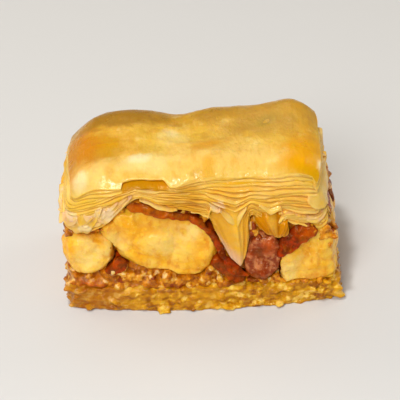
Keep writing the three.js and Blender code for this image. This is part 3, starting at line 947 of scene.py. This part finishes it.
# lobes of the front kernels: middle x and z, reach along x and z, rise
LOBES = (
    (0.6, 11.6, 2.6, 3, 0.9),
    (-0.6, 15.8, 2.4, 1.8, 0.4),
    (-6.5, 14.6, 3.2, 2.4, 0.35),
    (-11.6, 17.2, 2.4, 1.8, 0.3),
    (-4.4, 10.4, 2.6, 1.4, 0.3),
    (-21.4, 12.6, 2.2, 1.6, 0.35),
    (-19.6, 8.6, 1.8, 1.6, 0.3),
    (8.6, 10.6, 1.2, 1.5, 0.5),
    (12.2, 12, 1.5, 1.5, 0.7),
    (10.8, 7.2, 1.7, 1.2, 0.5),
    (16, 8, 1.9, 3, 0.4),
    (20.6, 10.4, 1.8, 1.8, 0.3),
)

# bands of walnut skin on the front cut: x, z, half the band's height and how orange it is
BIG_BAND = np.array((
    (-13.2, 22, 1.3, 0.8), (-9.3, 21.7, 1, 0.8), (-6.5, 20.7, 0.8, 0.6),
    (-4.3, 19.9, 0.65, 0.5), (-1.6, 19.4, 0.7, 0.3), (0.4, 18.4, 0.7, 0.2),
    (1.9, 16.4, 0.6, 0.2), (3.3, 13.2, 0.55, 0.1), (4.4, 10.4, 0.7, 0), (6.1, 8, 0.85, 0.1),
    (8.6, 6.7, 0.7, 0.3),
))
RIGHT_BAND = np.array((
    (13.9, 10.2, 0.8, 0), (15.2, 12.2, 1.2, 0), (17, 13.7, 1.5, 0), (18.8, 14.9, 1.7, 0.1),
    (20.6, 15.4, 1.4, 0.3), (22, 15.2, 0.9, 0.5),
))


def near_band(p, band):
    """1 on the band and 0 away from it, for points of the front cut."""
    spot = p[:, (0, 2)] - (CENTRE[0], 0)
    closest = np.full(len(p), 9.0)
    for (x0, z0, high0, _), (x1, z1, high1, _) in zip(band, band[1:]):
        step = np.array((x1 - x0, z1 - z0))
        t = np.clip((spot - (x0, z0)) @ step / (step @ step), 0, 1)
        away = np.linalg.norm(spot - (x0, z0) - t[:, None] * step, axis=1)
        closest = np.minimum(closest, away / (high0 + (high1 - high0) * t))
    return smoothstep(1.15, 0.75, closest) * (p[:, 1] < -HALF_W / 2)


def make_kernel(node, number):
    p, normal, faces = remesh(*node_shape(node), KERNEL_VOXEL, KERNEL_SMOOTHING)
    seed = 100 + 20 * number
    fold = (1 - np.abs(noise(p, 3.4, seed))) ** 7
    lobes = 0.4 * fractal(p, 5.5, seed + 4, 2) + 0.24 * noise(p, 2.1, seed + 9)
    if node.startswith("walnut_front"):
        lobes = lobes + swell(LOBES, p[:, 0] - CENTRE[0], p[:, 2])
    fine = 0.09 * fractal(p, 1.1, seed + 12)
    p = p + normal * (lobes - 0.17 * fold + fine)[:, None]
    side, amount = SKINS.get(node, USUAL_SKIN)
    facing = normal @ unit(side)
    patch = fractal(p, 3.5, seed + 14)
    skin = smoothstep(0.75, 0.5, 1 - facing * 0.8 + 0.1 * patch - 0.62 * amount + 0.1)
    if node not in SKINS:
        above = (p[:, 2] - p[:, 2].mean()) * 2 / np.ptp(p[:, 2])
        skin = skin * smoothstep(0.1, 0.45, above)
    skin = np.maximum(skin, near_band(p, BIG_BAND) * (node == "walnut_front_big"))
    plum = smoothstep(-0.6, 0.3, patch) * (node == DARK_KERNEL)
    ember = np.full(len(p), EMBERS.get(node, 0.2))
    slot = "walnut_skin" if node == DARK_KERNEL else "walnut"
    add_mesh(node + "_nut", p, faces, walnut, slot, (node,), crease=fold, skin=skin, plum=plum,
             ember=ember, shade=fold * 0.8)


kernels = sorted(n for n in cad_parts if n.startswith("walnut_"))
for number, node in enumerate(kernels):
    make_kernel(node, number)

STRIP_AROUND, STRIP_PROUD, STRIP_SPACING, STRIP_ROUNDING = 18, 0.25, 0.18, 40
# amount and size of the noise that bends a strip
STRIP_BENDS = ((0.26, 1.8), (0.2, 0.8))


def make_strip(name, band, half_deep, seed, fade=0.0):
    """A ragged band of walnut skin on the front cut."""
    course = even_course(band, spacing=STRIP_SPACING)
    for _ in range(STRIP_ROUNDING):
        course[1:-1] = (course[:-2] + course[1:-1] * 2 + course[2:]) / 4
    course, half_high, ember = course[:, :2], course[:, 2], course[:, 3]
    ahead = unit(np.gradient(course, axis=0))
    side = np.c_[-ahead[:, 1], ahead[:, 0]]
    count = len(course)
    t = np.linspace(0, 1, count)
    ends = np.sqrt(np.clip(np.minimum(t, 1 - t) * 12, 0.02, 1))
    uneven = 1 + 0.3 * noise(np.c_[course, t * 0], 1.8, seed)
    rings = []
    turns = np.linspace(0, 2 * math.pi, STRIP_AROUND, endpoint=False)
    for turn in turns:
        high = half_high * ends * uneven * math.cos(turn)
        depth = half_deep * ends * math.sin(turn) + 0.35 * high
        spot = course + side * high[:, None]
        p = np.c_[spot[:, 0], -HALF_W - STRIP_PROUD + depth, spot[:, 1]]
        for amount, size in STRIP_BENDS:
            bend = np.stack([noise(p, size, seed + k) for k in range(3)], axis=-1)
            p += amount * bend * ends[:, None]
        rings.append(p)
    points = np.stack(rings, axis=1).reshape(-1, 3)
    first = np.arange(STRIP_AROUND)[None]
    faces = [ring_faces(count, STRIP_AROUND), first[:, ::-1], first + (count - 1) * STRIP_AROUND]
    skin = 1 - fade * smoothstep(0.7, 1, np.repeat(t, STRIP_AROUND))
    # painted shade: darker along the band's upper edge
    painted_shade_rim = np.tile(smoothstep(0.3, 0.95, np.cos(turns)), count) * 0.6
    add_mesh(name, lean(points), faces, walnut, "walnut_skin", skin=skin,
             ember=np.repeat(ember, STRIP_AROUND), shade=painted_shade_rim)


make_strip("skin_strip_big", BIG_BAND, 0.25, 300)
make_strip("skin_strip_right", RIGHT_BAND, 0.3, 310, 0.3)

# ---- Filling

GOLDEN = (1 + 5**0.5) / 2
ICOSAHEDRON = (
    (0, 11, 5), (0, 5, 1), (0, 1, 7), (0, 7, 10), (0, 10, 11), (1, 5, 9), (5, 11, 4),
    (11, 10, 2), (10, 7, 6), (7, 1, 8), (3, 9, 4), (3, 4, 2), (3, 2, 6), (3, 6, 8),
    (3, 8, 9), (4, 9, 5), (2, 4, 11), (6, 2, 10), (8, 6, 7), (9, 8, 1),
)


def make_ball():
    """Points on the unit sphere and triangles: an icosahedron, each face split in four."""
    corners = [
        np.roll((a, b, 0), turn) for turn in range(3) for b in (GOLDEN, -GOLDEN) for a in (-1, 1)
    ]
    points = [unit(corner) for corner in corners]
    halves, faces = {}, []

    def half(a, b):
        key = frozenset((a, b))
        if key not in halves:
            halves[key] = len(points)
            points.append(unit(points[a] + points[b]))
        return halves[key]

    for a, b, c in ICOSAHEDRON:
        ab, bc, ca = half(a, b), half(b, c), half(c, a)
        faces += [(a, ab, ca), (b, bc, ab), (c, ca, bc), (ab, bc, ca)]
    return np.array(points), np.array(faces)


BALL, BALL_FACES = make_ball()
random = np.random.default_rng(7)

# the least and the most length, width and height of bits, in their sizes
LUMPS = ((0.9, 1.5), (0.7, 1.1), (0.55, 1))
LEAVES = ((1, 1.7), (0.8, 1.2), (0.35, 0.6))
CRAGGY, LEAF_TILT = 0.3, 0.14


def make_bits(centres, sizes, kind):
    """Points and faces of small irregular lumps, or of flat leaves that lie level."""
    count = len(centres)
    shape = BALL[None] * (1 + CRAGGY * random.uniform(-1, 1, (count, len(BALL), 1)))
    stretch = [random.uniform(*limits, count) for limits in kind]
    shape = shape * np.stack(stretch, axis=-1)[:, None] * (sizes / 2)[:, None, None]
    up, aside = random.normal(size=(2, count, 3))
    if kind is LEAVES:
        up = up * LEAF_TILT + (0, 0, 1)
    first = np.cross(up, aside)
    turns = unit(np.stack([first, np.cross(up, first), up], axis=-1), axis=1)
    shape = np.einsum("nij,nkj->nki", turns, shape) + centres[:, None]
    faces = BALL_FACES[None] + (np.arange(count) * len(BALL))[:, None, None]
    return shape.reshape(-1, 3), faces.reshape(-1, 3)


kernel_trees = [
    BVHTree.FromPolygons(
        [solid.matrix_world @ v.co for v in solid.data.vertices],
        [tuple(f.vertices) for f in solid.data.polygons],
    )
    for solid in (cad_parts[n] for n in kernels)
]

KERNEL_SEARCH = 0.01  # metres


def touches(tree, spot, margin):
    """Whether a point is inside a closed body, or nearer to it than the margin."""
    place, normal, _, distance = tree.find_nearest(spot, KERNEL_SEARCH)
    return place is not None and ((spot - place).dot(normal) < 0 or distance < margin)


def clear_of_kernels(points, margin):
    """Which points are outside every kernel by at least the margin."""
    return np.array([
        not any(touches(tree, Vector(p * MM), margin * MM) for tree in kernel_trees)
        for p in points
    ])


def side_places(count, z_low, z_high, depth_low, depth_high):
    """Random block points just inside the cut faces."""
    chosen = random.integers(0, AROUND, count)
    jitter = random.uniform(-0.15, 0.15, (count, 2))
    inward = random.uniform(depth_low, depth_high, count)[:, None]
    flat = spots[chosen] - out[chosen] * inward + jitter
    return np.c_[flat, random.uniform(z_low, z_high, count)]


TATTER_ROWS = 12
# where along the outline, how many, half their width in outline steps, and the shares of the
# lid's thickness from which and to which they hang
TATTER_KINDS = (
    ("all", 28, (6, 20), (0.05, 0.35), (-0.1, 0.04)),
    ("hidden", 10, (12, 28), (0.5, 0.85), (0.2, 0.5)),
    ("left", 14, (6, 14), (0.2, 0.6), (-0.02, 0.25)),
)
# tatters end above this share where a fold, or the front's right end, shows below the lid
CLEAR_SHARE = 0.32
TATTER_THICKNESS = 0.18


def make_tatter(i, reach, high_share, low_share, number):
    """A torn, wrinkled bit of sheet that hangs down the cut round outline point i."""
    index = (i + np.arange(-reach, reach + 1)) % AROUND
    s = np.linspace(-1, 1, len(index))
    x, y = spots[index].T
    way = np.c_[out[index], np.zeros(len(index))]
    place = np.c_[x, y, np.full(len(index), 7 * number)]
    torn = 0.4 * noise(place, 2.6, 61) + 0.22 * noise(place, 0.9, 62)
    clear = smoothstep(0.2, 1.6, sag_depth(x, y))
    clear = np.maximum(clear, 0.6 * smoothstep(13, 19, x) * (way[:, 1] < -0.1))
    high = sheet_height(x, y, np.maximum(high_share, clear * (CLEAR_SHARE + 0.15)))
    clear_low = low_share + clear * (np.maximum(CLEAR_SHARE, low_share) - low_share)
    low = sheet_height(x, y, clear_low) + torn
    low = low + (high - low) * 0.9 * np.abs(s) ** 2.4 + random.uniform(-0.6, 0.6) * s
    low = np.minimum(low, high - 0.1)
    lift, curl = random.uniform(0.1, 0.35), random.uniform(-0.3, 0.5)
    rows = []
    for v in np.linspace(0, 1, TATTER_ROWS):
        z = high + (low - high) * v
        place = np.c_[x, y, z * 0.6 + 7 * number]
        wrinkle = 0.24 * noise(place, 1.5, 63) + 0.1 * noise(place, 0.7, 66)
        push = lift * math.sin(math.pi * (0.15 + 0.7 * v)) + 0.25 + wrinkle * v + curl * v**3
        push = push - 1.2 * (1 - v) ** 3
        rows.append(np.c_[x, y, z] + way * push[:, None])
    points, faces = thin_sheet(
        np.concatenate(rows), TATTER_ROWS, len(index), np.tile(way, (TATTER_ROWS, 1)),
        TATTER_THICKNESS)
    return points, faces[:, ::-1]


def make_tatters():
    left = np.flatnonzero((out[:, 1] < -0.7) & (spots[:, 0] < -15))
    hidden = np.flatnonzero((out[:, 1] > -0.5) & (spots[:, 0] > -20))
    ranges = {"all": np.arange(AROUND), "hidden": hidden, "left": left}
    rows = []
    total = 0
    for where, count, reach, high, low in TATTER_KINDS:
        for i in random.choice(ranges[where], count):
            number = len(rows) + 1
            p, f = make_tatter(
                i, random.integers(*reach), random.uniform(*high), random.uniform(*low), number)
            patches = np.c_[p[:, :2], p[:, 2] + 9 * number]
            amber = beside_seam(p, p[:, 1] < 4 - HALF_W)
            pale = random.uniform(0.1, 0.9) + 0.6 * noise(patches, 1.8, 64) - amber
            # pinkish painted highlights, in patches
            blush = random.uniform(-0.5, 0.35) + 0.6 * noise(patches, 1.4, 65)
            deep = amber + random.uniform(-0.6, 0.6)
            rows.append((p, f + total, *np.clip((pale, blush, deep), 0, 1)))
            total += len(p)
    points, faces, pale, blush, deep = (np.concatenate(part) for part in zip(*rows))
    add_mesh("phyllo_tatters", lean(points), faces, phyllo, "phyllo_lid",
             edge=np.full(len(points), 0.6), pale=pale, blush=blush, deep=deep)


make_tatters()

BIT_REACH = 0.75  # how near a point is to a bit that it belongs to, in its sizes


def add_crumbly(name, node, kind, material, bits, voxel, smoothing, bare_shade, relief):
    """A solid and its bits, grown together as one skin. bits holds their centres, sizes, shades
    and, in the filling, skins, and relief an amount, a size and a seed."""
    centres, sizes, *colours = bits
    solid, solid_faces = node_shape(node)
    lumps, lump_faces = make_bits(centres, sizes, kind)
    p, normal, faces = remesh(
        np.concatenate([solid, lumps]), np.concatenate([solid_faces, lump_faces + len(solid)]),
        voxel, smoothing)
    tree = KDTree(len(centres))
    for i, centre in enumerate(centres):
        tree.insert(centre, i)
    tree.balance()
    index, away = np.array([tree.find(v)[1:] for v in p]).T
    index = index.astype(int)
    near = away < sizes[index] * BIT_REACH
    numbers = {
        key: np.where(near, values[index], bare)
        for key, values, bare in zip(("shade", "skin"), colours, (bare_shade, 0))
    }
    amount, size, seed = relief
    p = p + normal * (amount * fractal(p, size, seed))[:, None]
    p[:, 2] = np.maximum(p[:, 2], 0)
    add_mesh(name, p, faces, material, node, (node,), **numbers)


# chosen bits on the front cut: x, z, size, shade and whether it wears skin
FRONT_BITS = (
    (-15.8, 7.9, 1.7, 0.9, 0), (-14.4, 7.4, 1.4, 0.9, 0), (-12.9, 6.8, 1.2, 0.8, 0),
    (9.6, 15.4, 2, 0.2, 1), (10.8, 14.2, 1.6, 0.3, 1), (10.2, 16.8, 1.6, 0.2, 1),
    (-20.4, 5.4, 1.9, 0.45, 0), (-18.6, 5, 1.7, 0.55, 0), (-22.4, 5.6, 1.6, 0.3, 0),
    (-11.5, 6.6, 1.4, 0.75, 0), (-9, 6.4, 1.3, 0.6, 1), (-6.6, 6.9, 1, 1, 0),
    (-5.2, 6.2, 1, 0.85, 0), (-2.6, 6.3, 1.5, 0.5, 0), (0.8, 6.4, 1.6, 0.45, 0),
    (3.2, 6, 1.3, 0.9, 0), (23.4, 11.4, 1.8, 0.6, 0), (22.8, 13.6, 1.9, 0.66, 0),
    (23.8, 15.2, 1.7, 0.5, 0), (21.4, 14.9, 1.6, 0.6, 0), (20.6, 16.2, 1.5, 0.5, 0),
    (22.4, 16.4, 1.5, 0.7, 0), (24.3, 13.2, 1.4, 0.45, 0), (21.8, 12.9, 1.4, 0.55, 0),
)
BITS = 2600


def make_filling():
    places = side_places(5200, BASE_TOP + 0.2, 24, 0.5, 1.9)
    x, y, z = places.T
    places = places[z < lid_underside(x, y) - sag_depth(x, y) - 0.4]
    places = np.concatenate([places, side_places(420, BASE_TOP - 0.1, BASE_TOP + 0.8, 0.2, 1.4)])
    centres = lean(places)
    sizes = 0.6 + 1.3 * random.random(len(centres)) ** 2
    keep = clear_of_kernels(centres, 0.1)
    centres, sizes = centres[keep][:BITS], sizes[keep][:BITS]
    shade = random.random(len(centres)) ** 1.15
    skin = (random.random(len(centres)) < 0.08).astype(float)
    x, z, wide, tint, red = np.array(FRONT_BITS).T
    centres = np.concatenate([centres, lean(np.c_[x, x * 0 - HALF_W + 0.5, z])])
    sizes, shade, skin = np.r_[sizes, wide], np.r_[shade, tint], np.r_[skin, red]
    add_crumbly("filling", "nut_filling", LUMPS, ground_nut, (centres, sizes, shade, skin),
                voxel=0.33, smoothing=3, bare_shade=0.3, relief=(0.1, 0.9, 410))


make_filling()

# ---- Base

# x and z of flakes that stand out of the front cut
LOW_FLAKES = np.array((
    (-7.7, 0.4), (-6.9, 0.3), (5, 0.4), (4.2, 0.5), (24.6, 1.6), (25.1, 0.9), (24.9, 2.4),
    (25.4, 0.6), (-21, 0.5), (14, 0.4),
))


def make_base():
    ledge = side_places(420, BASE_TOP - 0.2, BASE_TOP + 0.5, 0.5, 1.8)
    places = np.concatenate([side_places(2600, 0, BASE_TOP, 0.15, 0.9), ledge])
    sizes = 0.7 + 1.0 * random.random(len(places)) ** 2
    shade = random.random(len(places))
    x, z = LOW_FLAKES.T
    centres = lean(np.concatenate([places, np.c_[x, x * 0 - HALF_W - 0.3, z]]))
    sizes = np.r_[sizes, np.full(len(x), 1.5)]
    shade = np.r_[shade, np.full(len(x), 0.8)]
    add_crumbly("base", "phyllo_base", LEAVES, base_pastry, (centres, sizes, shade),
                voxel=0.26, smoothing=4, bare_shade=0.4, relief=(0.08, 0.8, 510))


make_base()

# ---- Stage

FLOOR_REACH = 3000
FLOOR_GREY, FLOOR_ROUGHNESS = (0.68, 0.67, 0.65, 1), 0.6
DAYLIGHT, WARM_LIGHT = (1, 1, 1), (1, 0.9, 0.76)
LIT_PLACE = Vector((0, 0, 0.012))
SKY = 0.22

# name, place, size, power and colour
LIGHTS = (
    ("key", (-0.14, -0.46, 0.40), 0.3, 2.3, DAYLIGHT),
    ("window", (-0.09, -0.1, 0.5), 0.05, 1, DAYLIGHT),
    ("back", (-0.06, 0.34, 0.46), 0.45, 0.35, WARM_LIGHT),
    ("right", (0.44, 0.24, 0.22), 0.3, 0.65, WARM_LIGHT),
    ("left", (-0.42, 0.26, 0.22), 0.3, 0.65, WARM_LIGHT),
)


def make_floor():
    corners = np.array(((-1, -1, 0), (1, -1, 0), (1, 1, 0), (-1, 1, 0))) * FLOOR_REACH
    mesh = build_mesh("floor", corners, np.arange(4)[None])
    n = Nodes("floor")
    n.put(n.shader.inputs["Base Color"], FLOOR_GREY)
    n.put(n.shader.inputs["Roughness"], FLOOR_ROUGHNESS)
    mesh.materials.append(n.material)
    add_object("floor", mesh)


def add_light(name, place, size, power, colour):
    data = bpy.data.lights.new(name, "AREA")
    data.shape = "DISK"
    data.size = size
    data.energy = power
    data.color = colour
    light = add_object(name, data)
    light.location = place
    light.rotation_mode = "QUATERNION"
    light.rotation_quaternion = (LIT_PLACE - Vector(place)).to_track_quat("-Z", "Y")


make_floor()
for row in LIGHTS:
    add_light(*row)
world = bpy.data.worlds.new("world")
world.use_nodes = True
background = world.node_tree.nodes["Background"]
background.inputs["Color"].default_value = (1, 1, 1, 1)
background.inputs["Strength"].default_value = SKY
bpy.context.scene.world = world
bpy.context.scene.view_settings.view_transform = "Standard"
